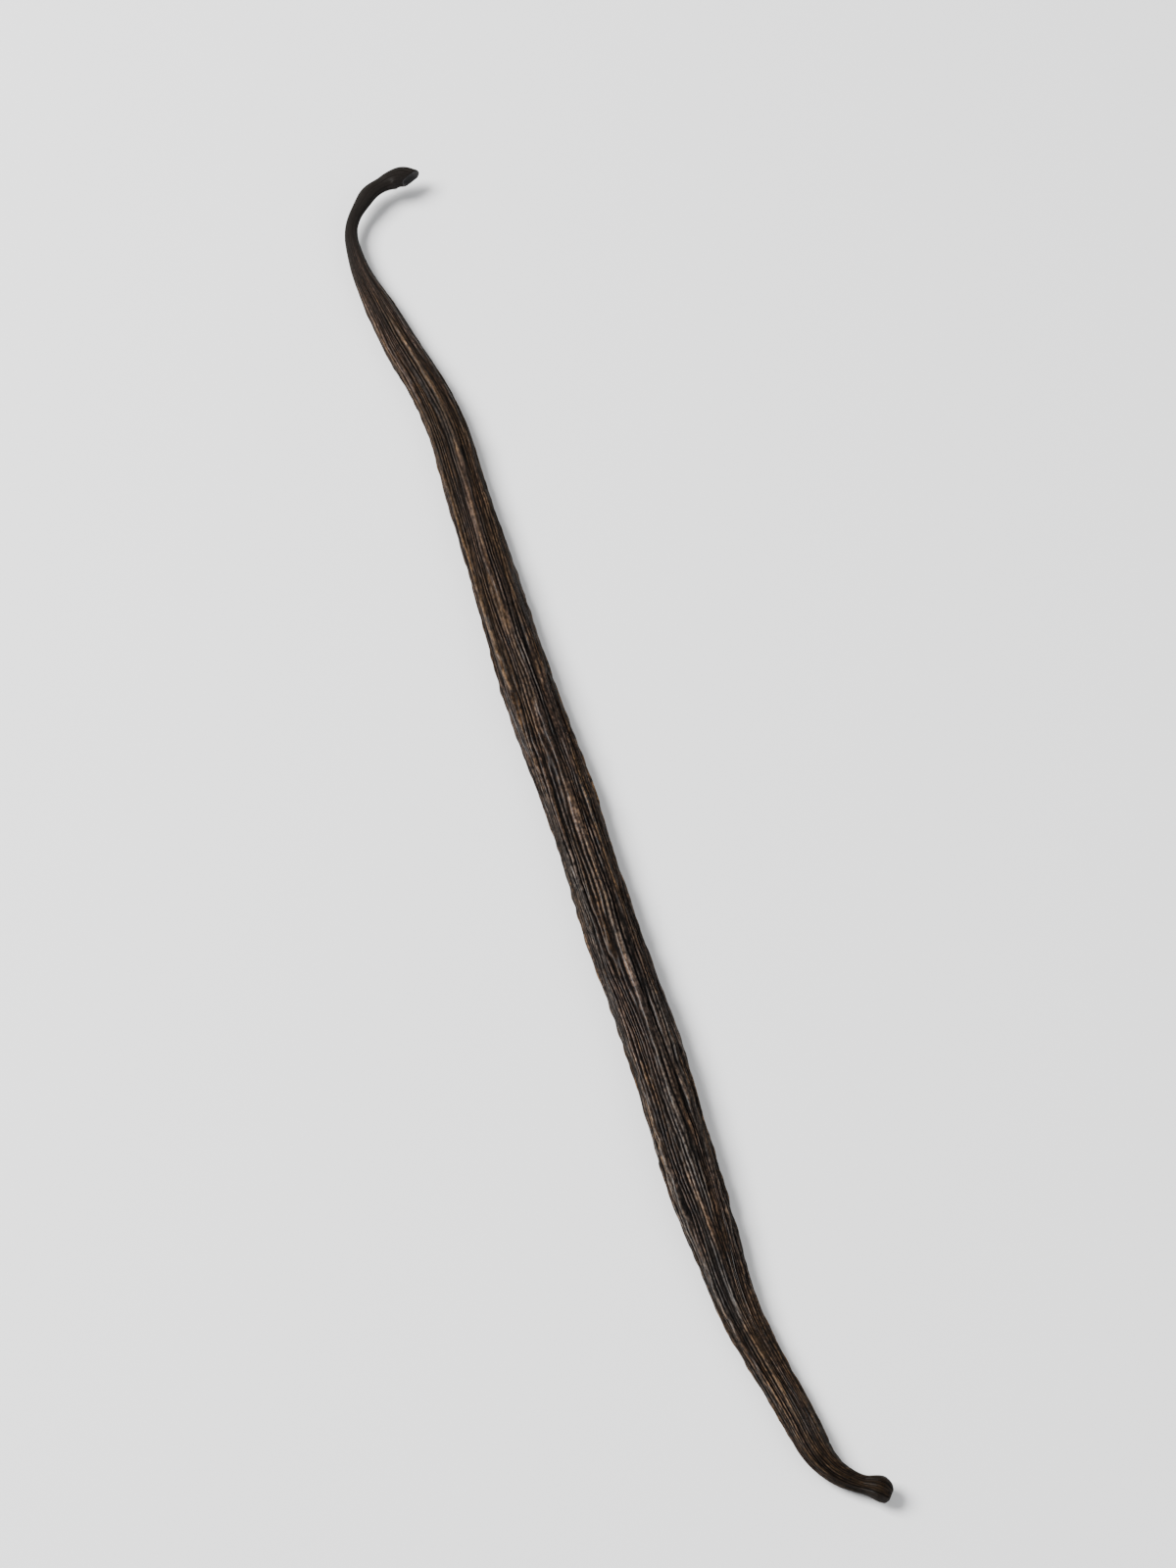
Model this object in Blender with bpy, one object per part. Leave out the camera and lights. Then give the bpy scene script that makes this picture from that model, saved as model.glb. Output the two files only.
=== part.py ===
"""A cured vanilla pod lying on its side, with a hooked stalk end and a curled blossom tip.

The pod is one solid, lofted through rings along a bent centreline. Distances along the pod run from
the cut end of the stalk (0) to the blossom tip (POD_RUN). Sizes are in millimetres, and the mesh is
written in metres. The pod lies on the XY plane with its length along Y, the hook at +Y, and +Z up.
"""

import math

import bmesh
import bpy
from mathutils import Vector

METRES = 0.001

POD_RUN = 192.0
RING_POINTS = 36

# The centreline in plan. 0 degrees heads along -Y, and a positive turn is towards +X.
# Each turn has a start and an end along the pod, and the degrees it adds between them.
FIRST_HEADING = -109.0
HOOK_END_TURN = (0.0, 4.2, 34.0)
HOOK_LEAN = (3.8, 7.0, 29.0)
HOOK_BEND = (7.3, 14.8, 42.0)
NECK_TURN = (14.3, 21.3, 11.0)
SHOULDER_SWELL = (27.3, 34.3, 2.5)
SHOULDER_TURN = (34.3, 51.3, -14.2)
CHEST_TURN = (55.3, 78.3, 2.9)
HIP_TURN = (110.3, 148.3, -0.8)
TAPER_TURN = (159.3, 171.3, 11.5)
TAIL_TURN = (174.3, 180.3, -2.0)
TIP_BEND = (181.0, 191.0, 52.0)
KNOB_TURN = (189.4, 192.0, -14.0)
TURNS = (
    HOOK_END_TURN,
    HOOK_LEAN,
    HOOK_BEND,
    NECK_TURN,
    SHOULDER_SWELL,
    SHOULDER_TURN,
    CHEST_TURN,
    HIP_TURN,
    TAPER_TURN,
    TAIL_TURN,
    TIP_BEND,
    KNOB_TURN,
)

# The ends stand a little clear of the surface that the body lies on.
HOOK_LIFT = 2.1
HOOK_LIFT_RUN = 32.0
TIP_LIFT = 0.9
TIP_LIFT_RUN = 22.0
PRESSED_FLAT = 0.32

# Sections: distance along the pod, then the width and thickness over the ridges.
STALK_END = (0.0, 2.5, 2.2)
STALK_COLLAR = (1.2, 2.85, 2.5)
STALK_STEP = (2.6, 2.35, 2.1)
STALK_THIN = (3.8, 1.95, 1.8)
STALK_HUMP = (6.2, 2.1, 1.8)
STALK_BEND = (9.2, 1.6, 1.6)
STALK_FOOT = (13.3, 1.75, 1.7)
NECK = (18.8, 2.6, 2.3)
NECK_BASE = (24.8, 3.9, 3.2)
SHOULDER = (36.3, 4.7, 3.9)
CHEST = (56.3, 5.1, 4.3)
BELLY = (82.3, 6.3, 4.9)
WAIST = (110.3, 6.1, 4.9)
HIP = (136.3, 6.3, 4.9)
TAPER = (150.3, 6.0, 4.6)
TAIL = (162.3, 4.7, 3.9)
TAIL_MIDDLE = (173.3, 3.9, 3.4)
TAIL_END = (181.8, 3.5, 3.0)
TIP_NECK = (189.2, 2.05, 1.95)
TIP_SWELL = (191.2, 2.8, 2.6)
TIP_FACE = (192.0, 2.4, 2.15)
SECTIONS = (
    STALK_END,
    STALK_COLLAR,
    STALK_STEP,
    STALK_THIN,
    STALK_HUMP,
    STALK_BEND,
    STALK_FOOT,
    NECK,
    NECK_BASE,
    SHOULDER,
    CHEST,
    BELLY,
    WAIST,
    HIP,
    TAPER,
    TAIL,
    TAIL_MIDDLE,
    TAIL_END,
    TIP_NECK,
    TIP_SWELL,
    TIP_FACE,
)

# The main folds: angle round the section (0 is the +X side, 90 the top), the ridge's height as a share
# of the valleys' depth, half its spread in degrees, the degrees it drifts along the pod, and its phase.
VALLEY_DEPTH = 0.30
RIDGES = (
    (4.0, 1.0, 26.0, 14.0, 0.4),
    (47.0, 0.65, 18.0, -10.0, 2.1),
    (92.0, 0.95, 22.0, 12.0, 3.7),
    (146.0, 1.0, 22.0, -12.0, 5.2),
    (186.0, 0.9, 22.0, 10.0, 1.3),
    (232.0, 0.8, 24.0, -8.0, 4.4),
    (273.0, 1.0, 28.0, 6.0, 0.9),
    (318.0, 0.85, 24.0, 8.0, 2.8),
)
RIDGE_WANDER = 6.0
RIDGE_START = (10.0, 32.0)
RIDGE_FADE = (168.0, 188.0)

# The edges bulge and pinch a little along the body.
EDGE_BULGE = 0.16

# The stalk's end is torn across at a slant, into two lobes round a small hollow. The blossom end is a
# rounded knob with a shallow scar. Each end is closed by rings: the share of the rim's size, and how
# far the ring lies inside the rim in millimetres. The last number is the middle's own depth.
STALK_SLANT = 0.9
STALK_LOBES = 0.34
STALK_TORN_RUN = 3.2
STALK_CLOSING = ((0.90, -0.20), (0.68, -0.08), (0.42, 0.46))
STALK_MIDDLE = 0.60
TIP_SLANT = 0.16
TIP_SLANT_RUN = 2.4
TIP_CLOSING = ((0.86, -0.26), (0.62, -0.44), (0.30, -0.40))
TIP_MIDDLE = -0.32

# Ring spacing: from, to, and how many rings between.
RING_ZONES = (
    (0.0, 4.4, 10),
    (4.4, 16.0, 14),
    (16.0, 40.0, 14),
    (40.0, 160.0, 48),
    (160.0, 182.0, 13),
    (182.0, 192.0, 15),
)

SKIN_COLOUR = (0.040, 0.026, 0.019, 1.0)
SKIN_ROUGHNESS = 0.5


def smooth(share):
    """Eases from 0 to 1 with no corner at either end."""
    share = min(1.0, max(0.0, share))
    return share * share * (3.0 - 2.0 * share)


def between(along, start, end):
    return smooth((along - start) / (end - start))


def heading(along):
    turned = sum(turn * between(along, start, end) for start, end, turn in TURNS)
    return math.radians(FIRST_HEADING + turned)


def eased_section(along):
    """Width and thickness at a place along the pod, with a rounded slope through each named section."""
    last = len(SECTIONS) - 1
    place = max(0, min(last - 1, sum(1 for row in SECTIONS if row[0] <= along) - 1))
    here, there = SECTIONS[place], SECTIONS[place + 1]
    share = (along - here[0]) / (there[0] - here[0])
    sizes = []
    for column in (1, 2):
        slopes = []
        for index in (place, place + 1):
            before, after = SECTIONS[max(0, index - 1)], SECTIONS[min(last, index + 1)]
            slopes.append((after[column] - before[column]) / (after[0] - before[0]))
        span = there[0] - here[0]
        a, b = here[column], there[column]
        sizes.append(
            a * (1 + 2 * share) * (1 - share) ** 2
            + b * share**2 * (3 - 2 * share)
            + slopes[0] * span * share * (1 - share) ** 2
            - slopes[1] * span * share**2 * (1 - share)
        )
    return sizes


def lift(along):
    hook = HOOK_LIFT * (1.0 - between(along, 0.0, HOOK_LIFT_RUN))
    tip = TIP_LIFT * between(along, POD_RUN - TIP_LIFT_RUN, POD_RUN)
    return hook + tip


def centreline():
    """Points half a millimetre apart down the middle of the pod."""
    step = 0.5
    x = y = 0.0
    points = []
    for index in range(int(POD_RUN / step) + 1):
        along = index * step
        thickness = eased_section(along)[1]
        points.append(Vector((x, y, thickness / 2 - PRESSED_FLAT + lift(along))))
        angle = heading(along + step / 2)
        x += math.sin(angle) * step
        y -= math.cos(angle) * step
    return points, step


def on_line(points, step, along):
    """The point, direction, sideways and upward vectors at a place along the pod."""
    place = min(along / step, len(points) - 1.001)
    index = int(place)
    point = points[index].lerp(points[index + 1], place - index)
    before = points[max(0, index - 1)]
    after = points[min(len(points) - 1, index + 2)]
    direction = (after - before).normalized()
    side = Vector((0, 0, 1)).cross(direction).normalized()
    return point, direction, side, direction.cross(side).normalized()


def folds(angle, along):
    """How far the main folds stand out from the plain section."""
    amount = between(along, *RIDGE_START) * (1.0 - 0.75 * between(along, *RIDGE_FADE))
    height = -VALLEY_DEPTH
    for middle, rise, spread, drift, phase in RIDGES:
        wander = RIDGE_WANDER * math.sin(along / 17.0 + phase) + drift * (along / POD_RUN - 0.5)
        off = (math.degrees(angle) - middle - wander + 180.0) % 360.0 - 180.0
        if abs(off) < spread:
            strength = 1.0 + 0.2 * math.sin(along / 9.0 + 2.0 * phase)
            height += VALLEY_DEPTH * rise * strength * math.cos(off / spread * math.pi / 2) ** 2
    return height * amount


def ring(points, step, along):
    point, direction, side, up = on_line(points, step, along)
    width, thickness = eased_section(along)
    body = between(along, 30.0, 60.0) * (1.0 - between(along, 150.0, 172.0))
    torn = 1.0 - between(along, 0.0, STALK_TORN_RUN)
    lobes = STALK_LOBES * torn
    slanted = STALK_SLANT * torn - TIP_SLANT * between(along, POD_RUN - TIP_SLANT_RUN, POD_RUN)
    made = []
    for index in range(RING_POINTS):
        angle = 2.0 * math.pi * index / RING_POINTS
        across, high = math.cos(angle), math.sin(angle)
        bulge = EDGE_BULGE * body * across**2 * math.sin(along / 5.3 + 1.8 * across)
        out = folds(angle, along) + bulge
        wide = (width / 2 + out) * across
        tall = (thickness / 2 + out) * high * (1.0 - lobes * (1.0 - across**2))
        ahead = slanted * (wide + 0.5 * tall)
        spot = point + side * wide + up * tall + direction * ahead
        spot.z = max(0.0, spot.z)
        made.append(spot)
    return made


def close_end(mesh, rim, inward, closing, middle_depth):
    """Closes an end with rings inside the rim and a fan to the middle."""
    centre = sum((vert.co for vert in rim), Vector()) / len(rim)
    outer = rim
    for share, depth in closing:
        inner = [mesh.verts.new(centre.lerp(vert.co, share) + inward * depth) for vert in rim]
        for index in range(len(rim)):
            after = (index + 1) % len(rim)
            mesh.faces.new((outer[index], outer[after], inner[after], inner[index]))
        outer = inner
    middle = mesh.verts.new(centre + inward * middle_depth)
    for index in range(len(rim)):
        mesh.faces.new((outer[index], outer[(index + 1) % len(rim)], middle))


def ring_places():
    places = [0.0]
    for start, end, count in RING_ZONES:
        places += [start + (end - start) * (index + 1) / count for index in range(count)]
    return places


def middle_of(values):
    values = list(values)
    return (min(values) + max(values)) / 2


def build_pod():
    points, step = centreline()
    mesh = bmesh.new()
    rows = [[mesh.verts.new(spot) for spot in ring(points, step, along)] for along in ring_places()]
    for first, second in zip(rows, rows[1:]):
        for index in range(RING_POINTS):
            after = (index + 1) % RING_POINTS
            mesh.faces.new((first[index], first[after], second[after], second[index]))
    stalk_way = on_line(points, step, 0.0)[1]
    tip_way = -on_line(points, step, POD_RUN)[1]
    close_end(mesh, rows[0], stalk_way, STALK_CLOSING, STALK_MIDDLE)
    close_end(mesh, rows[-1], tip_way, TIP_CLOSING, TIP_MIDDLE)
    middle_x = middle_of(vert.co.x for vert in mesh.verts)
    middle_y = middle_of(vert.co.y for vert in mesh.verts)
    bmesh.ops.translate(mesh, vec=Vector((-middle_x, -middle_y, 0.0)), verts=mesh.verts[:])
    bmesh.ops.triangulate(mesh, faces=mesh.faces[:])
    bmesh.ops.recalc_face_normals(mesh, faces=mesh.faces[:])
    bmesh.ops.scale(mesh, vec=Vector((METRES, METRES, METRES)), verts=mesh.verts[:])

    data = bpy.data.meshes.new("vanilla_pod")
    mesh.to_mesh(data)
    mesh.free()
    return bpy.data.objects.new("vanilla_pod", data)


def skin_material():
    material = bpy.data.materials.new("skin")
    material.use_nodes = True
    shader = material.node_tree.nodes["Principled BSDF"]
    shader.inputs["Base Color"].default_value = SKIN_COLOUR
    shader.inputs["Roughness"].default_value = SKIN_ROUGHNESS
    shader.inputs["Metallic"].default_value = 0.0
    return material


for leftover in list(bpy.data.objects):
    bpy.data.objects.remove(leftover, do_unlink=True)

collection = bpy.data.collections.new("vanilla pod")
bpy.context.scene.collection.children.link(collection)
pod = build_pod()
pod.data.materials.append(skin_material())
collection.objects.link(pod)
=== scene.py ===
# %% [markdown]
# # A cured vanilla pod
# A vanilla pod is the fruit of a climbing orchid. After weeks of sweating and drying it is dark, supple
# and wrinkled, as long as a hand and thinner than a pencil. The thin stalk bends over into a hook, and
# the far end, where the flower sat, curls and flares. This lesson starts from the measured solid of the
# pod and builds the skin that is seen: first the shape, then the wrinkles, then the finishes and light.

# %% Load the measured solid
import math

import bmesh
import bpy
import numpy as np
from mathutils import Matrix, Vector, noise


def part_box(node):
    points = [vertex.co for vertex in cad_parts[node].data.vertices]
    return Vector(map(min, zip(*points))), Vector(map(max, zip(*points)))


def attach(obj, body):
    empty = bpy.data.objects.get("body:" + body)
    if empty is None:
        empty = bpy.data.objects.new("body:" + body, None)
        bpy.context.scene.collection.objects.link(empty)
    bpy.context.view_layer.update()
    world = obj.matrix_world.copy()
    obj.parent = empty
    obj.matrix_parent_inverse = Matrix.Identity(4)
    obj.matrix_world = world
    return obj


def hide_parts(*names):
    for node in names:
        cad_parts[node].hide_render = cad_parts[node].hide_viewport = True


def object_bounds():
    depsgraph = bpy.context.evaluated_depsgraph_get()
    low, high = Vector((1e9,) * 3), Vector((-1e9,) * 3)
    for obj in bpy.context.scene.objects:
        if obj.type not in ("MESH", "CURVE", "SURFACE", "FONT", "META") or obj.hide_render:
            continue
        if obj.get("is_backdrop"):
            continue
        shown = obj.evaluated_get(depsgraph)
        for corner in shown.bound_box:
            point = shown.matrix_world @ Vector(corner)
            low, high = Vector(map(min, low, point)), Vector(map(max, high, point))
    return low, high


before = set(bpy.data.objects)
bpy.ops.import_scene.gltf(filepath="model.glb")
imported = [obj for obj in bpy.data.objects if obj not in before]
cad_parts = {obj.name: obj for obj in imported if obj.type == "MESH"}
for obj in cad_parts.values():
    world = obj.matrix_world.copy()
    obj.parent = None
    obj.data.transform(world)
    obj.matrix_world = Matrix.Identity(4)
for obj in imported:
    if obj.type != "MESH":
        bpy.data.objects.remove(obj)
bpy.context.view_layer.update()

MM = 0.001
pod_low, pod_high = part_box("vanilla_pod")
print("the solid is", [round((h - l) / MM, 1) for l, h in zip(pod_low, pod_high)], "mm")

# %% [markdown]
# ## The line down the middle
# A pod is never straight. Drawing its middle line with turns, each with a start, an end and a number of
# degrees, says how it really bends: a hook, a slow S along the body and a curl at the tip. A curve
# object with handles would do too, but turns keep their meaning when a size changes.

# %% The middle line
POD_RUN = 192.0
FIRST_HEADING = -109.0
TURNS = {
    "hook end": (0.0, 4.2, 34.0),
    "hook lean": (3.8, 7.0, 29.0),
    "hook bend": (7.3, 14.8, 42.0),
    "neck": (14.3, 21.3, 11.0),
    "shoulder swell": (27.3, 34.3, 2.5),
    "shoulder": (34.3, 51.3, -14.2),
    "chest": (55.3, 78.3, 2.9),
    "hip": (110.3, 148.3, -0.8),
    "taper": (159.3, 171.3, 11.5),
    "tail": (174.3, 180.3, -2.0),
    "tip bend": (181.0, 191.0, 52.0),
    "knob": (189.4, 192.0, -14.0),
}
HOOK_LIFT, HOOK_LIFT_RUN = 2.1, 32.0
TIP_LIFT, TIP_LIFT_RUN = 0.9, 22.0
PRESSED_FLAT = 0.32


def ease(share):
    share = np.clip(share, 0.0, 1.0)
    return share * share * (3.0 - 2.0 * share)


def between(along, start, end):
    return ease((along - start) / (end - start))


def heading(along):
    turned = FIRST_HEADING + sum(degrees * between(along, start, end) for start, end, degrees in TURNS.values())
    return np.radians(turned)


LINE_STEP = 0.1
line_along = np.arange(0.0, POD_RUN + LINE_STEP / 2, LINE_STEP)
line_heading = heading(line_along[:-1] + LINE_STEP / 2)
line_x = np.concatenate([[0.0], np.cumsum(np.sin(line_heading)) * LINE_STEP])
line_y = np.concatenate([[0.0], -np.cumsum(np.cos(line_heading)) * LINE_STEP])
print("the middle line runs", round(float(np.ptp(line_y)), 1), "mm from end to end")

# %% [markdown]
# ## How thick it is
# The pod swells from the stalk to the belly, narrows into the tail, and ends in a small knob at each
# end. Width and thickness are given at named places, and a smooth curve joins them. Lofting through
# such stations is how a boat's hull is drawn, and it suits any long body that changes slowly.

# %% Width and thickness along the pod
STATIONS = {
    "stalk end": (0.0, 2.5, 2.2),
    "stalk collar": (1.2, 2.85, 2.5),
    "stalk step": (2.6, 2.35, 2.1),
    "stalk thin": (3.8, 1.95, 1.8),
    "stalk hump": (6.2, 2.1, 1.8),
    "stalk bend": (9.2, 1.6, 1.6),
    "stalk foot": (13.3, 1.75, 1.7),
    "neck": (18.8, 2.6, 2.3),
    "neck base": (24.8, 3.9, 3.2),
    "shoulder": (36.3, 4.7, 3.9),
    "chest": (56.3, 5.1, 4.3),
    "belly": (82.3, 6.3, 4.9),
    "waist": (110.3, 6.1, 4.9),
    "hip": (136.3, 6.3, 4.9),
    "taper": (150.3, 6.0, 4.6),
    "tail": (162.3, 4.7, 3.9),
    "tail middle": (173.3, 3.9, 3.4),
    "tail end": (181.8, 3.5, 3.0),
    "tip neck": (189.2, 2.05, 1.95),
    "tip swell": (191.2, 2.8, 2.6),
    "tip face": (192.0, 2.4, 2.15),
}
station_table = np.array(list(STATIONS.values()))


def smooth_through(places, values, along):
    """A curve through every value, whose slope at each place is that of its two neighbours."""
    before = np.concatenate([places[:1], places[:-1]]), np.concatenate([values[:1], values[:-1]])
    after = np.concatenate([places[1:], places[-1:]]), np.concatenate([values[1:], values[-1:]])
    slopes = (after[1] - before[1]) / (after[0] - before[0])
    index = np.clip(np.searchsorted(places, along, side="right") - 1, 0, len(places) - 2)
    span = places[index + 1] - places[index]
    share = (along - places[index]) / span
    start = values[index] * (1 + 2 * share) * (1 - share) ** 2
    start = start + slopes[index] * span * share * (1 - share) ** 2
    end = values[index + 1] * share**2 * (3 - 2 * share)
    return start + end - slopes[index + 1] * span * share**2 * (1 - share)


def width_at(along):
    return smooth_through(station_table[:, 0], station_table[:, 1], along)


def thickness_at(along):
    return smooth_through(station_table[:, 0], station_table[:, 2], along)


def height_at(along):
    """How high the middle line lies, with the ends lifted clear and the underside pressed flat."""
    hook = HOOK_LIFT * (1.0 - between(along, 0.0, HOOK_LIFT_RUN))
    tip = TIP_LIFT * between(along, POD_RUN - TIP_LIFT_RUN, POD_RUN)
    return thickness_at(along) / 2 - PRESSED_FLAT + hook + tip


print("widest", round(float(width_at(line_along).max()), 2), "mm, thinnest", round(float(width_at(line_along).min()), 2))

# %% [markdown]
# ## The grid of skin points
# Every point of the skin has a place along the pod and an angle round it. Laying the points out as a
# grid first, and moving them afterwards, lets each fold and wrinkle be one sum over the whole skin.
# The lines of the grid wander from side to side as the wrinkles do, so that a fine ridge can follow
# them exactly and stays crisp with only five points across it. The wandering comes from noise that is
# stretched along the pod and read on a cylinder, so that it closes on itself.

# %% The grid
ROUND_POINTS = 225
RING_ZONES = ((0.0, 4.4, 22), (4.4, 40.0, 86), (40.0, 160.0, 234), (160.0, 182.0, 46), (182.0, 192.0, 36))
ring_along = np.concatenate(
    [[0.0]] + [np.linspace(start, end, count + 1)[1:] for start, end, count in RING_ZONES]
)
round_angle = np.arange(ROUND_POINTS) * 2.0 * math.pi / ROUND_POINTS
along_grid, line_grid = np.meshgrid(ring_along, round_angle, indexing="ij")
girth_grid = (width_at(along_grid) + thickness_at(along_grid)) / 4
print("the skin has", along_grid.size, "points in", len(ring_along), "rings")

# %% Stretched noise, and lines that wander
CYLINDER = 2.8


def streaks(across, along, seed, angle):
    """Noise on the grid, in cells of so many millimetres across and along the pod."""
    spots = np.stack(
        [
            CYLINDER * np.cos(angle) / across + seed * 3.17,
            CYLINDER * np.sin(angle) / across - seed * 1.71,
            along_grid / along + seed * 7.93,
        ],
        axis=-1,
    )
    values = [noise.noise(spot) for spot in spots.reshape(-1, 3).tolist()]
    return np.array(values).reshape(along_grid.shape)


sway = 0.26 * streaks(2.4, 34.0, 1, line_grid) + 0.10 * streaks(1.2, 9.0, 2, line_grid)
sway = sway + 0.020 * streaks(0.7, 3.0, 3, line_grid)
angle_grid = line_grid + sway
print("the lines sway by up to", round(float(np.abs(sway).max() * CYLINDER), 2), "mm")

# %% [markdown]
# ## The main folds
# As the pod dries its wall sinks between eight long ridges. Each ridge wanders a little from side to
# side and is stronger in some places than in others. These folds are in the solid too, so the numbers
# are the same there.

# %% The main folds
VALLEY_DEPTH = 0.30
RIDGES = (
    (4.0, 1.0, 26.0, 14.0, 0.4),
    (47.0, 0.65, 18.0, -10.0, 2.1),
    (92.0, 0.95, 22.0, 12.0, 3.7),
    (146.0, 1.0, 22.0, -12.0, 5.2),
    (186.0, 0.9, 22.0, 10.0, 1.3),
    (232.0, 0.8, 24.0, -8.0, 4.4),
    (273.0, 1.0, 28.0, 6.0, 0.9),
    (318.0, 0.85, 24.0, 8.0, 2.8),
)
RIDGE_WANDER = 6.0
RIDGE_START = (10.0, 32.0)
RIDGE_FADE = (168.0, 188.0)
EDGE_BULGE = 0.16


def off_ridge(along, angle, ridge):
    """Degrees round the pod from a ridge's top."""
    middle, _, _, drift, phase = ridge
    wander = RIDGE_WANDER * np.sin(along / 17.0 + phase) + drift * (along / POD_RUN - 0.5)
    return (np.degrees(angle) - middle - wander + 180.0) % 360.0 - 180.0


def main_folds(along, angle):
    amount = between(along, *RIDGE_START) * (1.0 - 0.75 * between(along, *RIDGE_FADE))
    height = np.full(np.shape(along), -VALLEY_DEPTH)
    for ridge in RIDGES:
        off = off_ridge(along, angle, ridge)
        strength = 1.0 + 0.2 * np.sin(along / 9.0 + 2.0 * ridge[4])
        rise = np.where(np.abs(off) < ridge[2], np.cos(off / ridge[2] * math.pi / 2) ** 2, 0.0)
        height = height + VALLEY_DEPTH * ridge[1] * strength * rise
    return height * amount


body_share = between(along_grid, 30.0, 60.0) * (1.0 - between(along_grid, 150.0, 172.0))
edge_bulges = (
    EDGE_BULGE * body_share * np.cos(angle_grid) ** 2 * np.sin(along_grid / 5.3 + 1.8 * np.cos(angle_grid))
)
fold_grid = main_folds(along_grid, angle_grid)
print("the folds are up to", round(float(np.ptp(fold_grid)), 2), "mm deep")

# %% [markdown]
# ## Wrinkles
# Between the folds the skin shrinks into fine ridges that run lengthwise, less than half a millimetre
# apart, like corduroy. A cosine round the pod makes parallel ridges, and it follows the lines of the
# grid, so they wander and crowd together as those do. Noise makes each ridge strong here and faint
# there, which is how lines seem to split and join.

# %% Parallel ridges
FINE_RIDGES = ROUND_POINTS // 5
BROAD_RIDGES = 19


def strength(across, along, seed, middle, swing):
    """How strong a ridge is from place to place."""
    return np.clip(middle + swing * streaks(across, along, seed, line_grid), 0.0, 1.3)


fine_ridges = 0.5 + 0.5 * np.cos(FINE_RIDGES * line_grid)
push = 1.1 * streaks(1.5, 22.0, 4, line_grid) + 0.35 * streaks(0.8, 7.0, 5, line_grid)
broad_ridges = np.abs(np.cos(0.5 * BROAD_RIDGES * line_grid + math.pi * push)) ** 0.8
fine_strength = strength(0.55, 10.0, 6, 0.62, 1.5)
broad_strength = strength(1.0, 14.0, 7, 0.55, 1.4)
print(FINE_RIDGES, "fine and", BROAD_RIDGES, "broad ridges go round the pod")

# %% How the wrinkles add up
fineness = np.clip(girth_grid / 2.7, 0.0, 1.0)
smooth_stalk = 1.0 - between(along_grid, 12.0, 30.0)
calm_chest = 0.30 * between(along_grid, 14.0, 26.0) * (1.0 - between(along_grid, 68.0, 94.0))
roughening = (1.0 - 0.65 * smooth_stalk) * (1.0 - 0.5 * calm_chest) * fineness
patch_off = (np.degrees(angle_grid) - 118.0 + 180.0) % 360.0 - 180.0
grey_patch = np.exp(-(((along_grid - 163.5) / 5.0) ** 2) - (patch_off / 34.0) ** 2)
roughening = roughening * (1.0 - 0.65 * grey_patch)
hair_lines = streaks(0.34, 4.0, 8, line_grid)
knobs = streaks(0.42, 1.5, 9, line_grid)
smooth_tip = between(along_grid, 187.0, 191.5)
wrinkle_grid = roughening * (1.0 - 0.8 * smooth_tip) * (
    0.12 * broad_strength * (broad_ridges - 0.6)
    + 0.17 * fine_strength * (fine_ridges - 0.5)
    + 0.14 * hair_lines
    + 0.10 * knobs
)
print("wrinkle relief", round(float(np.ptp(wrinkle_grid)), 3), "mm")

# %% [markdown]
# ## Sharp lines and creases
# Where two folds meet, the skin is pinched into a thin sharp line that catches the light, and deep
# grooves run beside it. Short creases cross the pod where it has been bent. Each is added as its own
# small ridge or cut, with a start and an end, because noise alone never makes one long clear line.

# %% Pinched lines along the main ridges
PINCHED = ((3, 0.17, 2.4), (2, 0.075, 2.0), (0, 0.11, 2.3), (4, 0.11, 2.4), (1, 0.08, 2.0), (5, 0.10, 2.3))
pinched_grid = np.zeros_like(along_grid)
for index, rise, spread in PINCHED:
    off = off_ridge(along_grid, angle_grid - 0.5 * sway, RIDGES[index])
    patchy = np.clip(0.5 + 0.5 * np.sin(along_grid / 13.0 + 3.0 * RIDGES[index][4]) + 0.9 * knobs, 0.0, 1.0)
    pinched_grid = np.maximum(pinched_grid, rise * patchy * np.exp(-((off / spread) ** 2)))
pinched_grid = pinched_grid * between(along_grid, 22.0, 42.0) * (1.0 - between(along_grid, 176.0, 188.0))

GROOVES = (26.0, 68.0, 118.0, 167.0, 208.0, 252.0, 296.0, 340.0)
groove_grid = np.zeros_like(along_grid)
for number, middle in enumerate(GROOVES):
    wander = RIDGE_WANDER * np.sin(along_grid / 17.0 + 1.3 * number) + 5.0 * np.sin(along_grid / 6.1 + number)
    off = (np.degrees(angle_grid - 0.7 * sway) - middle - wander + 180.0) % 360.0 - 180.0
    patchy = np.clip(0.5 + 0.8 * np.sin(along_grid / 11.0 + 2.2 * number), 0.0, 1.0)
    groove_grid = groove_grid - 0.20 * patchy * np.exp(-((off / 3.2) ** 2))
groove_grid = groove_grid * roughening
print("pinched lines up to", round(float(pinched_grid.max()), 2), "mm, grooves to", round(float(groove_grid.min()), 2))

# %% Creases across the pod
CREASES = (
    # place along, angle round, half its length in degrees, slant in mm, depth in mm
    (11.3, 20.0, 60.0, 0.4, 0.06),
    (13.5, 10.0, 55.0, -0.3, 0.05),
    (29.3, 130.0, 35.0, 0.8, 0.10),
    (55.3, 30.0, 28.0, 1.2, 0.11),
    (81.8, 20.0, 30.0, -1.4, 0.14),
    (94.3, 150.0, 26.0, 1.1, 0.10),
    (119.3, 60.0, 24.0, 1.4, 0.09),
    (144.8, 160.0, 34.0, 1.6, 0.15),
    (148.8, 130.0, 38.0, 2.2, 0.14),
    (152.3, 90.0, 30.0, 1.3, 0.08),
    (169.3, 30.0, 36.0, -1.0, 0.09),
    (182.8, 15.0, 50.0, 0.5, 0.10),
    (184.5, 25.0, 55.0, 0.4, 0.09),
    (186.1, 10.0, 45.0, 0.3, 0.07),
)
crease_grid = np.zeros_like(along_grid)
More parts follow.
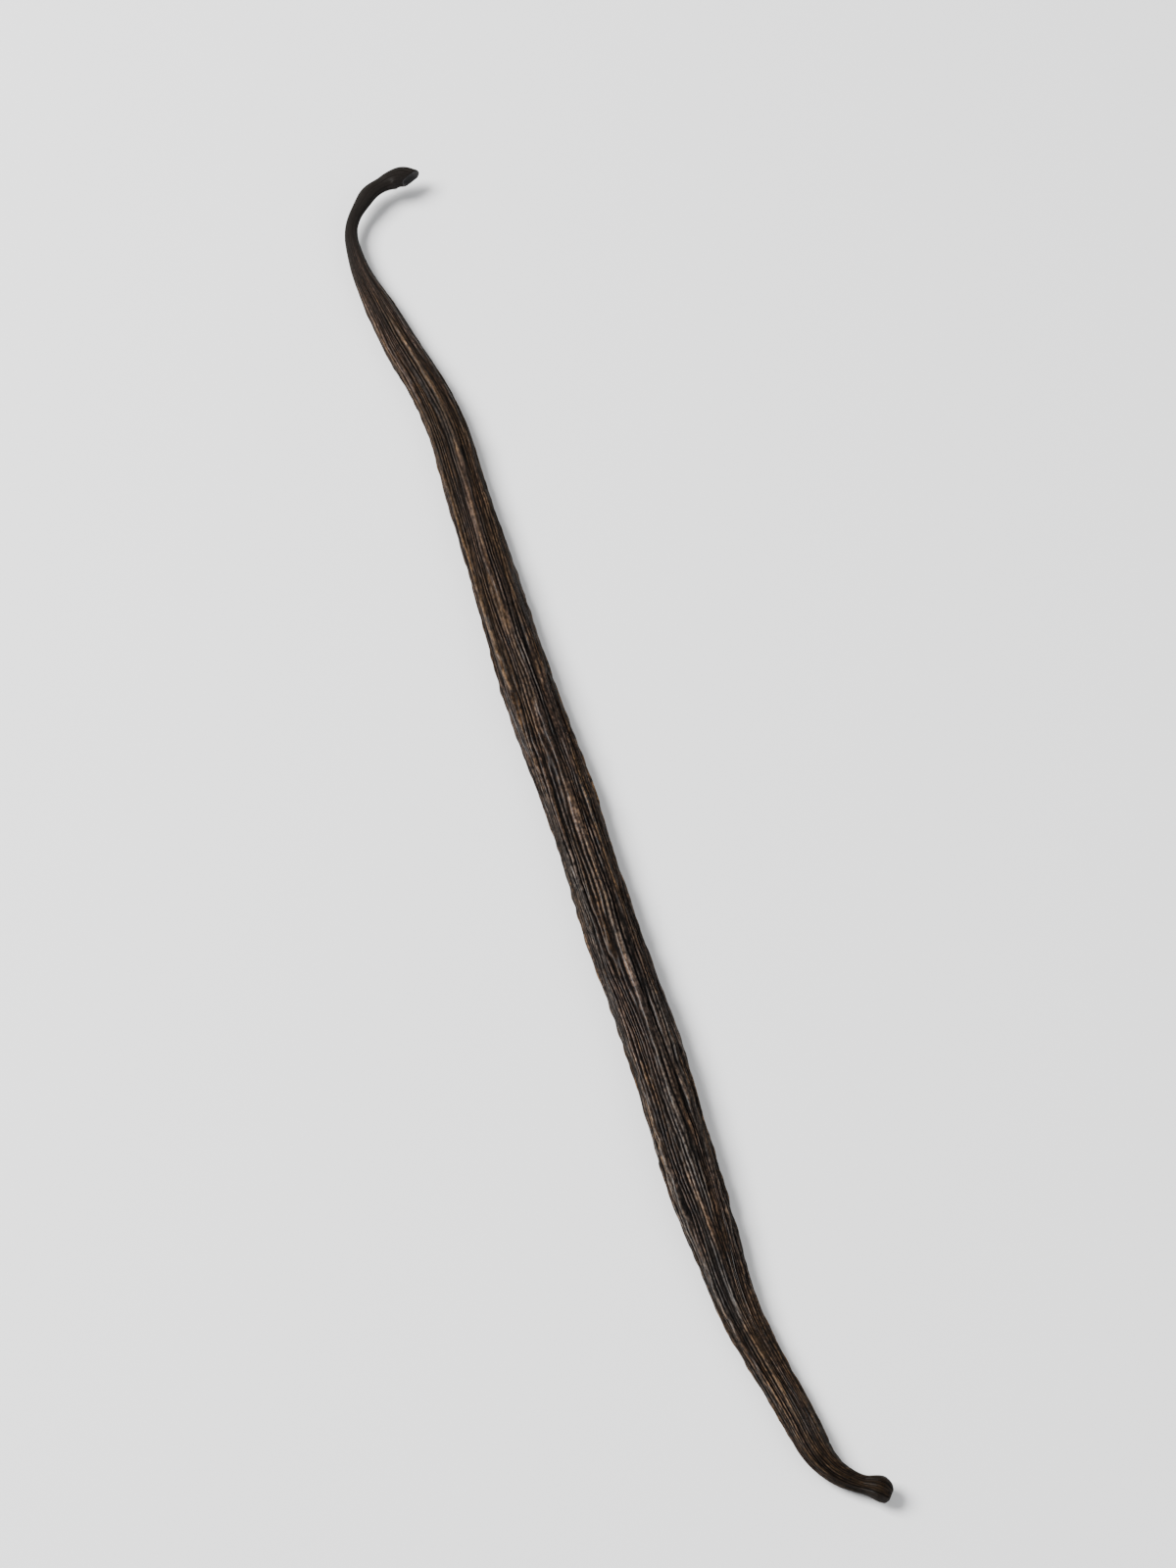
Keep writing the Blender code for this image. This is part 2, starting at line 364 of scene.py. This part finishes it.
for place, middle, half, slant, depth in CREASES:
    off = (np.degrees(angle_grid) - middle + 180.0) % 360.0 - 180.0
    reach = np.clip(1.0 - (off / half) ** 2, 0.0, 1.0)
    away = along_grid - place - slant * off / half - 2.2 * sway
    crease_grid = crease_grid - depth * reach * np.exp(-((away / 0.30) ** 2))
    crease_grid = crease_grid + 0.45 * depth * reach * np.exp(-(((away - 0.65) / 0.40) ** 2))
crease_grid = crease_grid * fineness
print(len(CREASES), "creases, up to", round(float(-crease_grid.min()), 2), "mm deep")

# %% [markdown]
# ## From the grid to the pod
# Each ring now goes on the middle line, square to it. The section is an oval with its folds and
# wrinkles added, and anything that would sink below the surface it lies on is pressed flat. The stalk's
# end is torn at a slant into two lobes. The tip is cut nearly square.

# %% Rings on the middle line
STALK_SLANT, STALK_LOBES, STALK_TORN_RUN = 0.9, 0.34, 3.2
TIP_SLANT, TIP_SLANT_RUN = 0.16, 2.4


def middle_points(along):
    return np.stack([np.interp(along, line_along, line_x), np.interp(along, line_along, line_y), height_at(along)], -1)


def on_line(along):
    """Middle points and the forward, sideways and upward directions there, for a row of places."""
    ahead = middle_points(np.minimum(along + 0.3, POD_RUN))
    behind = middle_points(np.maximum(along - 0.3, 0.0))
    direction = (ahead - behind) / np.linalg.norm(ahead - behind, axis=1, keepdims=True)
    side = np.cross(np.array([0.0, 0.0, 1.0]), direction)
    side = side / np.linalg.norm(side, axis=1, keepdims=True)
    return middle_points(along), direction, side, np.cross(direction, side)


def skin_points(relief):
    """The skin between the ends in millimetres, with this much relief at each point of the grid."""
    points, direction, side, up = on_line(ring_along)
    across, high = np.cos(angle_grid), np.sin(angle_grid)
    torn = 1.0 - between(along_grid, 0.0, STALK_TORN_RUN)
    slanted = STALK_SLANT * torn - TIP_SLANT * between(along_grid, POD_RUN - TIP_SLANT_RUN, POD_RUN)
    wide = (width_at(along_grid) / 2 + relief) * across
    tall = (thickness_at(along_grid) / 2 + relief) * high * (1.0 - STALK_LOBES * torn * (1.0 - across**2))
    forward = slanted * (wide + 0.5 * tall)
    spots = points[:, None, :] + side[:, None, :] * wide[..., None] + up[:, None, :] * tall[..., None]
    spots = spots + direction[:, None, :] * forward[..., None]
    spots[..., 2] = np.maximum(spots[..., 2], 0.0)
    return spots


relief_grid = fold_grid + edge_bulges + wrinkle_grid + pinched_grid + groove_grid + crease_grid
print("the relief runs from", round(float(relief_grid.min()), 2), "to", round(float(relief_grid.max()), 2), "mm")

# %% [markdown]
# ## The two ends
# The stalk was pulled from the vine and leaves a small hollow with a thick rim. The tip is a rounded
# knob with the dry scar of the flower. Both are closed by rings that shrink towards the middle and
# follow a profile, and the rings are closest together at the rim, where the profile turns fastest.

# %% Close the ends
STALK_CLOSING = ((1.0, 0.0), (0.90, -0.20), (0.68, -0.08), (0.42, 0.46), (0.0, 0.60))
TIP_CLOSING = ((1.0, 0.0), (0.86, -0.26), (0.62, -0.44), (0.30, -0.40), (0.0, -0.32))
END_RINGS = 8
END_SHARES = np.cos(np.linspace(0.0, math.pi / 2, END_RINGS + 2))[1:-1]


def end_rings(rim, inward, closing, seed, ragged):
    """The rings inside a rim, from the rim inwards, and the middle point."""
    table = np.array(closing)[::-1]
    centre = rim.mean(axis=0)
    made = []
    for share in END_SHARES:
        depth = smooth_through(table[:, 0], table[:, 1], np.array([share]))[0]
        circle = centre + (rim - centre) * share
        bumps = [ragged * (1.2 - share) * noise.noise(spot) for spot in (circle * 1.9 + seed).tolist()]
        made.append(circle + np.outer(depth + np.array(bumps), inward))
    return np.array(made), centre + inward * closing[-1][1]


def whole_pod(relief, ragged):
    """Every ring from one end to the other, and the middle points of the two ends."""
    skin = skin_points(relief)
    ways = on_line(np.array([0.0, POD_RUN]))[1]
    stalk, stalk_middle = end_rings(skin[0], ways[0], STALK_CLOSING, 11.0, ragged)
    tip, tip_middle = end_rings(skin[-1], -ways[1], TIP_CLOSING, 29.0, ragged)
    return np.concatenate([stalk[::-1], skin, tip]), np.array([stalk_middle, tip_middle])


plain_rings, _ = whole_pod(fold_grid + edge_bulges, 0.0)
plain_spots = plain_rings.reshape(-1, 3)
solid_middle = (np.array(pod_low) + np.array(pod_high)) / 2 / MM
slide = solid_middle - (plain_spots.max(axis=0) + plain_spots.min(axis=0)) / 2
slide[2] = 0.0
rings, end_middles = whole_pod(relief_grid, 0.16)
print("the pod moves by", np.round(slide, 2), "mm to sit in the solid, with", len(END_SHARES), "rings on each end")

# %% Build the mesh
ring_spots = (np.concatenate([rings.reshape(-1, 3), end_middles]) + slide) * MM
ring_count = len(rings)
first = np.arange(ring_count - 1)[:, None] * ROUND_POINTS + np.arange(ROUND_POINTS)[None, :]
second = np.arange(ring_count - 1)[:, None] * ROUND_POINTS + (np.arange(ROUND_POINTS)[None, :] + 1) % ROUND_POINTS
quads = np.stack([first, second, second + ROUND_POINTS, first + ROUND_POINTS], axis=-1).reshape(-1, 4)
last_row = (ring_count - 1) * ROUND_POINTS
middle = ring_count * ROUND_POINTS
fans = [((i + 1) % ROUND_POINTS, i, middle) for i in range(ROUND_POINTS)]
fans += [(last_row + i, last_row + (i + 1) % ROUND_POINTS, middle + 1) for i in range(ROUND_POINTS)]
pod_mesh = bpy.data.meshes.new("vanilla_pod_skin")
pod_mesh.from_pydata(ring_spots.tolist(), [], quads.tolist() + fans)
pod_mesh.update()
pod_skin = bpy.data.objects.new("vanilla_pod_skin", pod_mesh)
bpy.context.scene.collection.objects.link(pod_skin)
shaper = bmesh.new()
shaper.from_mesh(pod_mesh)
bmesh.ops.recalc_face_normals(shaper, faces=shaper.faces[:])
shaper.to_mesh(pod_mesh)
shaper.free()
pod_mesh.shade_smooth()
print("the skin has", len(pod_mesh.polygons), "faces,", 2 * len(quads) + len(fans), "triangles")

# %% [markdown]
# ## What the finish needs to know
# The colour follows the relief: crests are golden brown, partly as rubbed skin and partly as painted
# highlight, and grooves are near black, partly as dark oil and partly as painted shade. So the
# mesh carries a few numbers at each point, which the material reads by name: how high the skin stands
# on a wrinkle or on a fold, how far along the pod it is, and its place on the unrolled skin, which
# lets a texture follow the pod round its bends.

# %% Numbers for the finish
end_count = END_RINGS


def spread_to_ends(grid):
    """One number for each point of the mesh. The end rings repeat the rims."""
    rows = [grid[0]] * end_count + list(grid) + [grid[-1]] * end_count
    return np.concatenate(rows + [[grid[0].mean()], [grid[-1].mean()]])


def give(name, values):
    made = pod_mesh.attributes.new(name, "FLOAT", "POINT")
    made.data.foreach_set("value", np.asarray(values, dtype=np.float32))




def blurred(grid, reach):
    """The grid averaged over so many points to each side, round the pod."""
    shifts = range(-reach, reach + 1)
    return sum(np.roll(grid, shift, axis=1) for shift in shifts) / len(shifts)


# the main ridge, where its golden line starts and ends, and half the line's spread in degrees
GOLDEN_LINES = ((3, 24.0, 98.0, 4.0), (0, 66.0, 116.0, 5.0), (2, 52.0, 84.0, 2.6), (4, 118.0, 168.0, 4.0), (1, 128.0, 160.0, 3.0))
# crest: how high the skin stands on its small wrinkles. The material reads it to paint the grooves near black and the
# crests pale, partly the skin's own colour and partly painted shade and painted highlight.
detail_grid = relief_grid - blurred(relief_grid, 3)
clearness = 5.4 * (1.0 - calm_chest) * (1.0 - 0.4 * smooth_tip) * (1.0 - 0.6 * grey_patch)
crest_grid = np.clip(0.52 + clearness * detail_grid / np.maximum(roughening, 0.35), 0.0, 1.0)
give("crest", spread_to_ends(crest_grid))
golden_grid = np.zeros_like(along_grid)
for index, start, end, spread in GOLDEN_LINES:
    off = off_ridge(along_grid, angle_grid - 0.5 * sway, RIDGES[index])
    reach = between(along_grid, start, start + 8.0) * (1.0 - between(along_grid, end - 8.0, end))
    golden_grid = np.maximum(golden_grid, reach * np.exp(-((off / spread) ** 2)))
golden_grid = golden_grid * np.clip(0.75 + 1.2 * knobs, 0.0, 1.0)
give("golden", spread_to_ends(golden_grid))
give("greyed", spread_to_ends(grey_patch))
give("calm", spread_to_ends(np.maximum(calm_chest / 0.30, smooth_tip)))
give("rubbed", spread_to_ends(np.clip(pinched_grid / 0.16, 0.0, 1.0)))
# fold: how high the skin stands on a main fold, which the material uses to paint shade into the fold valleys.
give("fold", spread_to_ends(np.clip(1.0 + fold_grid / VALLEY_DEPTH, 0.0, 1.3)))
give("along", spread_to_ends(along_grid / POD_RUN))
give("tip", spread_to_ends(between(along_grid, 176.0, 189.0)))
give("stalk", spread_to_ends(1.0 - between(along_grid, 10.0, 25.0)))
end_depth = np.concatenate(
    [np.repeat(np.linspace(1.0, 0.0, end_count + 1)[:-1], ROUND_POINTS), np.zeros(along_grid.size)]
    + [np.repeat(np.linspace(0.0, 1.0, end_count + 1)[1:], ROUND_POINTS), [1.0, 1.0]]
)
give("scar", end_depth)
unrolled = np.stack([CYLINDER * np.cos(line_grid), CYLINDER * np.sin(line_grid), along_grid], -1)
unrolled_rows = [unrolled[0]] * end_count + list(unrolled) + [unrolled[-1]] * end_count
unrolled_all = np.concatenate(unrolled_rows + [unrolled[0].mean(axis=0)[None, :], unrolled[-1].mean(axis=0)[None, :]])
unrolled_all[: end_count * ROUND_POINTS, :2] *= 1.0 - 0.9 * end_depth[: end_count * ROUND_POINTS, None]
place = pod_mesh.attributes.new("unrolled", "FLOAT_VECTOR", "POINT")
place.data.foreach_set("vector", unrolled_all.astype(np.float32).ravel())
print("named numbers:", ", ".join(a.name for a in pod_mesh.attributes if a.name in ("crest", "fold", "along", "scar")))

# %% [markdown]
# ## The cured skin
# Cured skin is almost black where it is thick and oily, and golden brown where it is thin or rubbed.
# Here the colour also holds painted shade, near black down in the grooves, and painted highlight, paler
# on the crests. It has a soft greasy shine. One Principled shader does all of it, with its colour and
# roughness worked out from the crests, some slow noise for the patches that differ from place to place,
# and a fine grain that is too small to model, put in as bump.

# %% Helpers for node trees


def add(tree, kind, **settings):
    made = tree.nodes.new(kind)
    for name, value in settings.items():
        setattr(made, name, value)
    return made


def ramp(tree, source, stops):
    """A colour ramp from a number, with stops of place and colour."""
    made = add(tree, "ShaderNodeValToRGB")
    elements = made.color_ramp.elements
    while len(elements) < len(stops):
        elements.new(0.5)
    for element, (where, colour) in zip(elements, stops):
        element.position = where
        element.color = (*colour, 1.0)
    tree.links.new(source, made.inputs["Fac"])
    return made.outputs["Color"]


def sums(tree, operation, first, second):
    made = add(tree, "ShaderNodeMath", operation=operation)
    for socket, value in zip(made.inputs, (first, second)):
        if isinstance(value, (int, float)):
            socket.default_value = value
        else:
            tree.links.new(value, socket)
    return made.outputs["Value"]


def blend(tree, how, share, first, second):
    made = add(tree, "ShaderNodeMix", data_type="RGBA", blend_type=how)
    for socket, value in zip((made.inputs[0], made.inputs[6], made.inputs[7]), (share, first, second)):
        if isinstance(value, (int, float)):
            socket.default_value = value
        elif isinstance(value, tuple):
            socket.default_value = (*value, 1.0)
        else:
            tree.links.new(value, socket)
    return made.outputs[2]


print("node helpers ready")

# %% Fine grain, shared by the skin and both ends


def build_fine_grain():
    """A node group: tiny lengthwise wrinkles, from a place on the unrolled skin."""
    group = bpy.data.node_groups.new("fine_grain", "ShaderNodeTree")
    for name, kind, default in (("Across", "NodeSocketFloat", 5.0), ("Along", "NodeSocketFloat", 0.5)):
        socket = group.interface.new_socket(name=name, in_out="INPUT", socket_type=kind)
        socket.default_value = default
    group.interface.new_socket(name="Place", in_out="INPUT", socket_type="NodeSocketVector")
    group.interface.new_socket(name="Height", in_out="OUTPUT", socket_type="NodeSocketFloat")
    inside, outside = group.nodes.new("NodeGroupInput"), group.nodes.new("NodeGroupOutput")
    scale = add(group, "ShaderNodeCombineXYZ")
    for socket, name in zip(scale.inputs, ("Across", "Across", "Along")):
        group.links.new(inside.outputs[name], socket)
    stretched = add(group, "ShaderNodeVectorMath", operation="MULTIPLY")
    group.links.new(inside.outputs["Place"], stretched.inputs[0])
    group.links.new(scale.outputs[0], stretched.inputs[1])
    grain = add(group, "ShaderNodeTexNoise")
    grain.inputs["Scale"].default_value = 1.0
    grain.inputs["Detail"].default_value = 3.0
    grain.inputs["Roughness"].default_value = 0.6
    group.links.new(stretched.outputs[0], grain.inputs["Vector"])
    ridge = sums(group, "ABSOLUTE", sums(group, "SUBTRACT", grain.outputs["Fac"], 0.5), 0.0)
    height = sums(group, "SUBTRACT", 1.0, sums(group, "MULTIPLY", ridge, 5.0))
    group.links.new(height, outside.inputs["Height"])
    return group


fine_grain = build_fine_grain()
print("group", fine_grain.name, "has sockets", [item.name for item in fine_grain.interface.items_tree])

# %% The skin material


def grain_height(tree, place, across, along):
    made = add(tree, "ShaderNodeGroup", node_tree=fine_grain)
    made.inputs["Across"].default_value = across
    made.inputs["Along"].default_value = along
    tree.links.new(place, made.inputs["Place"])
    return made.outputs["Height"]


def read(tree, name):
    return add(tree, "ShaderNodeAttribute", attribute_name=name)


BLACK, WHITE = (0.0, 0.0, 0.0), (1.0, 1.0, 1.0)


def stretched_noise(tree, place, across, along, detail=2.0, shift=(0.0, 0.0, 0.0)):
    scaled = add(tree, "ShaderNodeVectorMath", operation="MULTIPLY_ADD")
    tree.links.new(place, scaled.inputs[0])
    scaled.inputs[1].default_value = (across, across, along)
    scaled.inputs[2].default_value = shift
    made = add(tree, "ShaderNodeTexNoise")
    made.inputs["Scale"].default_value = 1.0
    made.inputs["Detail"].default_value = detail
    tree.links.new(scaled.outputs[0], made.inputs["Vector"])
    return made.outputs["Fac"]


def thin_lines(tree, place, across, along, shift):
    """How far a slow noise is from its middle value. It is near 0 on thin lines that wander lengthwise."""
    slow = stretched_noise(tree, place, across, along, 2.0, shift)
    return sums(tree, "ABSOLUTE", sums(tree, "SUBTRACT", slow, 0.5), 0.0)


GOLD_ZONES = ((0.0, 0.05), (0.12, 0.08), (0.24, 0.25), (0.42, 0.20), (0.62, 0.13), (0.80, 0.18), (0.90, 0.26), (1.0, 0.24))
GREY_ZONES = ((0.0, 0.26), (0.12, 0.06), (0.30, 0.02), (0.50, 0.12), (0.66, 0.20), (0.82, 0.14), (0.90, 0.02), (1.0, 0.04))


def zones(tree, along, stops):
    """A number that changes along the pod, as a grey ramp."""
    return ramp(tree, along, [(where, (value, value, value)) for where, value in stops])


def cured_skin():
    material = bpy.data.materials.new("cured_skin")
    material.use_nodes = True
    tree = material.node_tree
    shader = tree.nodes["Principled BSDF"]
    place = read(tree, "unrolled").outputs["Vector"]
    crest = read(tree, "crest").outputs["Fac"]
    fold = read(tree, "fold").outputs["Fac"]
    stalk = read(tree, "stalk").outputs["Fac"]

    # Colour by crest height, near black in the grooves and golden on the crests: partly the skin's own colour, partly
    # painted shade in the grooves and painted highlight on the crests.
    gold = ramp(
        tree,
        crest,
        (
            (0.10, (0.0008, 0.0004, 0.0002)),
            (0.34, (0.0064, 0.0037, 0.0019)),
            (0.52, (0.0262, 0.0158, 0.0087)),
            (0.76, (0.0452, 0.0282, 0.0155)),
            (1.00, (0.0560, 0.0350, 0.0188)),
        ),
    )
    rosy = ramp(
        tree,
        crest,
        (
            (0.10, (0.0008, 0.0004, 0.0002)),
            (0.34, (0.0060, 0.0037, 0.0025)),
            (0.52, (0.0250, 0.0162, 0.0118)),
            (0.76, (0.0400, 0.0272, 0.0207)),
            (1.00, (0.0490, 0.0336, 0.0260)),
        ),
    )
    grey = ramp(
        tree,
        crest,
        (
            (0.10, (0.0006, 0.0004, 0.0003)),
            (0.34, (0.0047, 0.0036, 0.0030)),
            (0.52, (0.0182, 0.0148, 0.0127)),
            (0.76, (0.0318, 0.0270, 0.0236)),
            (1.00, (0.0410, 0.0356, 0.0318)),
        ),
    )
    along = read(tree, "along").outputs["Fac"]
    rubbed = read(tree, "rubbed").outputs["Fac"]
    more_gold = sums(tree, "ADD", zones(tree, along, GOLD_ZONES), sums(tree, "MULTIPLY", rubbed, 0.34))
    golden_noise = sums(tree, "ADD", stretched_noise(tree, place, 0.80, 0.060, 3.0), more_gold)
    golden_places = ramp(tree, golden_noise, ((0.62, BLACK), (0.78, WHITE)))
    grey_noise = stretched_noise(tree, place, 0.60, 0.050, 3.0, (4.0, 9.0, 2.0))
    more_grey = sums(tree, "ADD", zones(tree, along, GREY_ZONES), sums(tree, "MULTIPLY", read(tree, "greyed").outputs["Fac"], 0.4))
    grey_places = ramp(tree, sums(tree, "ADD", grey_noise, more_grey), ((0.62, BLACK), (0.80, WHITE)))
    colour = blend(tree, "MIX", golden_places, rosy, gold)
    colour = blend(tree, "MIX", grey_places, colour, grey)
    golden_share = sums(tree, "MULTIPLY", read(tree, "golden").outputs["Fac"], 0.75)
    colour = blend(tree, "MIX", golden_share, colour, (0.062, 0.0370, 0.0190))
    line_tint = stretched_noise(tree, place, 1.9, 0.11, 2.0, (7.0, 1.0, 5.0))
    line_shade = ramp(tree, line_tint, ((0.30, (0.50, 0.48, 0.46)), (0.50, WHITE), (0.70, (1.75, 1.72, 1.68))))
    colour = blend(tree, "MULTIPLY", 1.0, colour, line_shade)
    speckle = stretched_noise(tree, place, 6.5, 2.2, 4.0)
    speckle_shade = ramp(tree, speckle, ((0.36, (0.30, 0.27, 0.25)), (0.50, WHITE), (0.66, (1.8, 1.75, 1.68))))
    lively = sums(tree, "SUBTRACT", 1.0, sums(tree, "MULTIPLY", read(tree, "calm").outputs["Fac"], 0.35))
    colour = blend(tree, "MULTIPLY", lively, colour, speckle_shade)
    pits = stretched_noise(tree, place, 2.9, 1.3, 3.0, (1.0, 6.0, 3.0))
    pit_shade = ramp(tree, pits, ((0.36, (0.34, 0.32, 0.30)), (0.50, WHITE), (0.66, (1.45, 1.42, 1.38))))
    colour = blend(tree, "MULTIPLY", lively, colour, pit_shade)
    crack_shade = ramp(tree, thin_lines(tree, place, 1.5, 0.075, (3.0, 8.0, 1.0)), ((0.0, (0.24, 0.21, 0.19)), (0.05, WHITE)))
    colour = blend(tree, "MULTIPLY", 0.85, colour, crack_shade)
    thread_shade = ramp(tree, thin_lines(tree, place, 1.2, 0.06, (9.0, 2.0, 7.0)), ((0.0, (1.75, 1.62, 1.45)), (0.045, WHITE)))
    colour = blend(tree, "MULTIPLY", 0.8, colour, thread_shade)
    # Painted shade: the valleys of the main folds are darkened to seven tenths and their tops lightened a little.
    fold_painted_shade = ramp(tree, fold, ((0.0, (0.70, 0.68, 0.66)), (1.0, (1.08, 1.08, 1.08))))
    colour = blend(tree, "MULTIPLY", 1.0, colour, fold_painted_shade)
    tip = read(tree, "tip").outputs["Fac"]
    colour = blend(tree, "MULTIPLY", tip, colour, (0.42, 0.43, 0.42))
    # The stalk's colour follows the crests too: painted shade in its grooves and painted highlight on its ridges, over
    # its own grey-brown.
    stalk_brown = ramp(tree, crest, ((0.1, (0.004, 0.0033, 0.0029)), (0.5, (0.0125, 0.0102, 0.0087)), (0.9, (0.030, 0.0245, 0.0208))))
    colour = blend(tree, "MIX", stalk, colour, stalk_brown)
    tree.links.new(colour, shader.inputs["Base Color"])

    rough = sums(tree, "MULTIPLY", stretched_noise(tree, place, 1.6, 0.25, 3.0), 0.30)
    rough = sums(tree, "SUBTRACT", rough, sums(tree, "MULTIPLY", crest, 0.12))
    rough = sums(tree, "ADD", rough, sums(tree, "MULTIPLY", stalk, 0.10))
    tree.links.new(sums(tree, "ADD", rough, 0.50), shader.inputs["Roughness"])

    grain = grain_height(tree, place, 5.5, 0.70)
    tiny = grain_height(tree, place, 10.0, 3.0)
    height = sums(tree, "ADD", grain, sums(tree, "MULTIPLY", tiny, 0.7))
    bump = add(tree, "ShaderNodeBump")
    bump.inputs["Strength"].default_value = 0.9
    bump.inputs["Distance"].default_value = 0.00007
    tree.links.new(height, bump.inputs["Height"])
    tree.links.new(bump.outputs["Normal"], shader.inputs["Normal"])
    shader.inputs["Specular IOR Level"].default_value = 0.06
    gloss = ramp(tree, crest, ((0.45, BLACK), (0.80, (0.17, 0.17, 0.17))))
    tree.links.new(gloss, shader.inputs["Coat Weight"])
    shader.inputs["Coat Roughness"].default_value = 0.28
    return material


skin_material = cured_skin()
pod_mesh.materials.append(skin_material)
print("material", skin_material.name, "has", len(skin_material.node_tree.nodes), "nodes")

# %% [markdown]
# ## The scars at the ends
# The torn stalk is dull and charcoal grey inside its hollow, with a slightly paler rim. The blossom
# scar is a dry, tan disc. They are small, but they are what the eye looks for at the end of a pod, so
# each has a finish of its own on the faces that close that end.

# %% End materials


def scar_material(name, middle_colour, rim_colour, roughness):
    material = bpy.data.materials.new(name)
    material.use_nodes = True
    tree = material.node_tree
    shader = tree.nodes["Principled BSDF"]
    place = read(tree, "unrolled").outputs["Vector"]
    scar = read(tree, "scar").outputs["Fac"]
    ragged = stretched_noise(tree, place, 2.4, 2.4, 3.0)
    depth = sums(tree, "ADD", scar, sums(tree, "MULTIPLY", sums(tree, "SUBTRACT", ragged, 0.5), 0.9))
    colour = ramp(tree, depth, ((0.12, rim_colour), (0.55, middle_colour)))
    tree.links.new(colour, shader.inputs["Base Color"])
    shade = sums(tree, "ADD", roughness - 0.1, sums(tree, "MULTIPLY", ragged, 0.2))
    tree.links.new(shade, shader.inputs["Roughness"])
    bump = add(tree, "ShaderNodeBump")
    bump.inputs["Strength"].default_value = 0.5
    bump.inputs["Distance"].default_value = 0.00005
    tree.links.new(grain_height(tree, place, 4.0, 4.0), bump.inputs["Height"])
    tree.links.new(bump.outputs["Normal"], shader.inputs["Normal"])
    return material


torn_stalk = scar_material("torn_stalk", (0.0035, 0.0029, 0.0026), (0.016, 0.013, 0.0112), 0.7)
blossom_scar = scar_material("blossom_scar", (0.024, 0.0170, 0.0098), (0.0062, 0.0045, 0.0030), 0.7)
pod_mesh.materials.append(torn_stalk)
pod_mesh.materials.append(blossom_scar)
STALK_LIP_RINGS, TIP_LIP_RINGS = 3, 4
slots = np.zeros(len(pod_mesh.polygons), dtype=np.int32)
slots[: (end_count - STALK_LIP_RINGS) * ROUND_POINTS] = 1
slots[len(quads) - (end_count - TIP_LIP_RINGS) * ROUND_POINTS : len(quads)] = 2
slots[len(quads) : len(quads) + ROUND_POINTS] = 1
slots[len(quads) + ROUND_POINTS :] = 2
pod_mesh.polygons.foreach_set("material_index", slots)
pod_mesh.update()
print("faces on the torn stalk:", int((slots == 1).sum()), " on the blossom scar:", int((slots == 2).sum()))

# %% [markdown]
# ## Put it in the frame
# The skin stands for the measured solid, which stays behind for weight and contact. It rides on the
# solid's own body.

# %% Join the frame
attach(pod_skin, "root")
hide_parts("vanilla_pod")
print("the skin rides on root")

# %% [markdown]
# ## Floor, light and camera
# A plain pale floor and two large soft lamps show a dark, wrinkled thing best. A big lamp behind the
# pod shines along it, so every crest gets an edge of light, and a weaker one in front keeps the near
# side open. The camera looks down at sixty degrees from slightly to the left of the pod's tip.

# %% Floor and light
low, high = (Vector(corner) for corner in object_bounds())
centre = (low + high) / 2
reach = (high - low).length
bpy.ops.mesh.primitive_plane_add(size=reach * 14, location=(centre.x, centre.y, 0.0))
floor = bpy.context.object
floor.name = "floor"
floor_material = bpy.data.materials.new("pale_floor")
floor_material.use_nodes = True
floor_shader = floor_material.node_tree.nodes["Principled BSDF"]
floor_shader.inputs["Base Color"].default_value = (0.86, 0.86, 0.86, 1.0)
floor_shader.inputs["Roughness"].default_value = 0.9
floor.data.materials.append(floor_material)
floor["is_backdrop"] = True


def soft_lamp(name, way, distance, size, watts):
    """A square soft lamp that faces the pod from a direction."""
    lamp = bpy.data.lights.new(name, "AREA")
    lamp.shape = "SQUARE"
    lamp.size = size
    lamp.energy = watts
    made = bpy.data.objects.new(name, lamp)
    bpy.context.scene.collection.objects.link(made)
    way = Vector(way).normalized()
    made.location = centre + way * distance
    made.rotation_euler = way.to_track_quat("Z", "Y").to_euler()
    return made


soft_lamp("key_lamp", (-0.75, 0.45, 1.0), 0.9, 0.45, 22.0)
soft_lamp("fill_lamp", (0.6, -0.8, 0.9), 1.1, 0.8, 5.0)
world = bpy.data.worlds.new("studio")
bpy.context.scene.world = world
world.use_nodes = True
world.node_tree.nodes["Background"].inputs["Color"].default_value = (0.95, 0.97, 1.0, 1.0)
world.node_tree.nodes["Background"].inputs["Strength"].default_value = 0.40
print("floor", round(reach * 14, 2), "m across, two lamps")

# %% Camera
VIEW_AZIMUTH, VIEW_ELEVATION, VIEW_DISTANCE = -18.5, 60.0, 0.48
turn, rise = math.radians(VIEW_AZIMUTH), math.radians(VIEW_ELEVATION)
back = Vector((math.sin(turn) * math.cos(rise), -math.cos(turn) * math.cos(rise), math.sin(rise)))
camera_data = bpy.data.cameras.new("camera")
camera_data.lens = 95.0
camera_data.clip_start = 0.01
camera = bpy.data.objects.new("camera", camera_data)
bpy.context.scene.collection.objects.link(camera)
camera.location = centre + back * VIEW_DISTANCE
camera.rotation_euler = back.to_track_quat("Z", "Y").to_euler()
bpy.context.scene.camera = camera
print("camera", round(VIEW_DISTANCE, 2), "m away, looking down at", VIEW_ELEVATION, "degrees")
